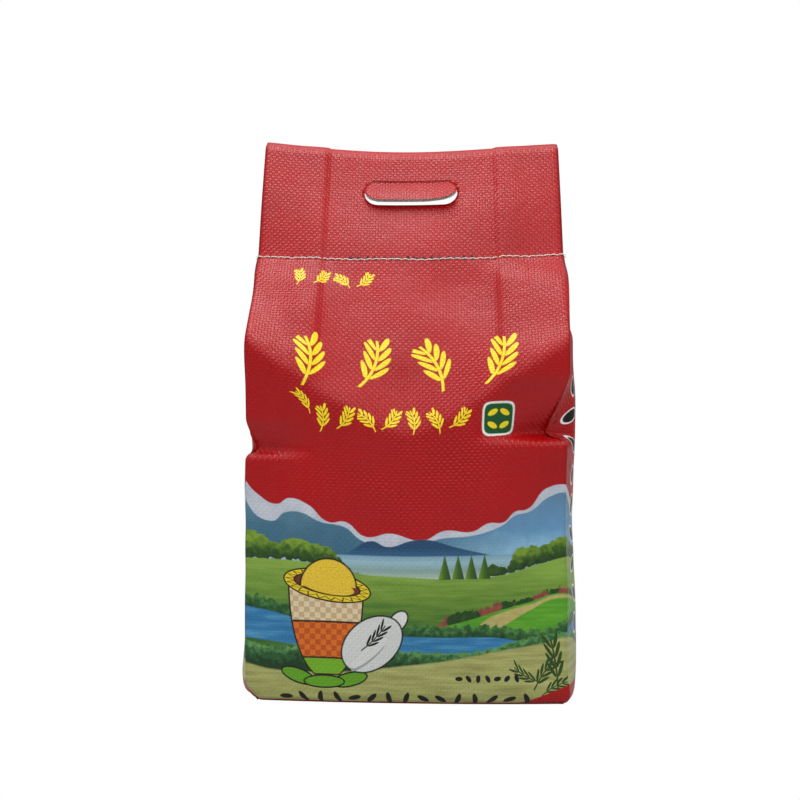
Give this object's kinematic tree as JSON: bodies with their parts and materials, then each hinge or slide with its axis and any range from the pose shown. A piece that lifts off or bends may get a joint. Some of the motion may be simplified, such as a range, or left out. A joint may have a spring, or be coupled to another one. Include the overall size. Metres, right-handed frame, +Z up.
{
  "type": "rice sack",
  "caption": "Filled side-gusset sack of laminated woven plastic for rice, standing on its base, sewn shut, with a punched grip slot above the seam.",
  "frame": {"origin": "under the middle of the sack's box, on the floor it stands on", "axes": "+Z up, the printed front faces -Y, +X to the right when the front is looked at"},
  "size_m": [0.269, 0.1124, 0.4538],
  "materials": {
    "printed_woven_film": "semi-gloss film laminated on woven tape cloth, printed",
    "sewing_thread": "matt spun thread"
  },
  "bodies": {
    "root": {"sack": "printed_woven_film", "closing_thread_front": "sewing_thread", "closing_thread_back": "sewing_thread"}
  },
  "joints": []
}
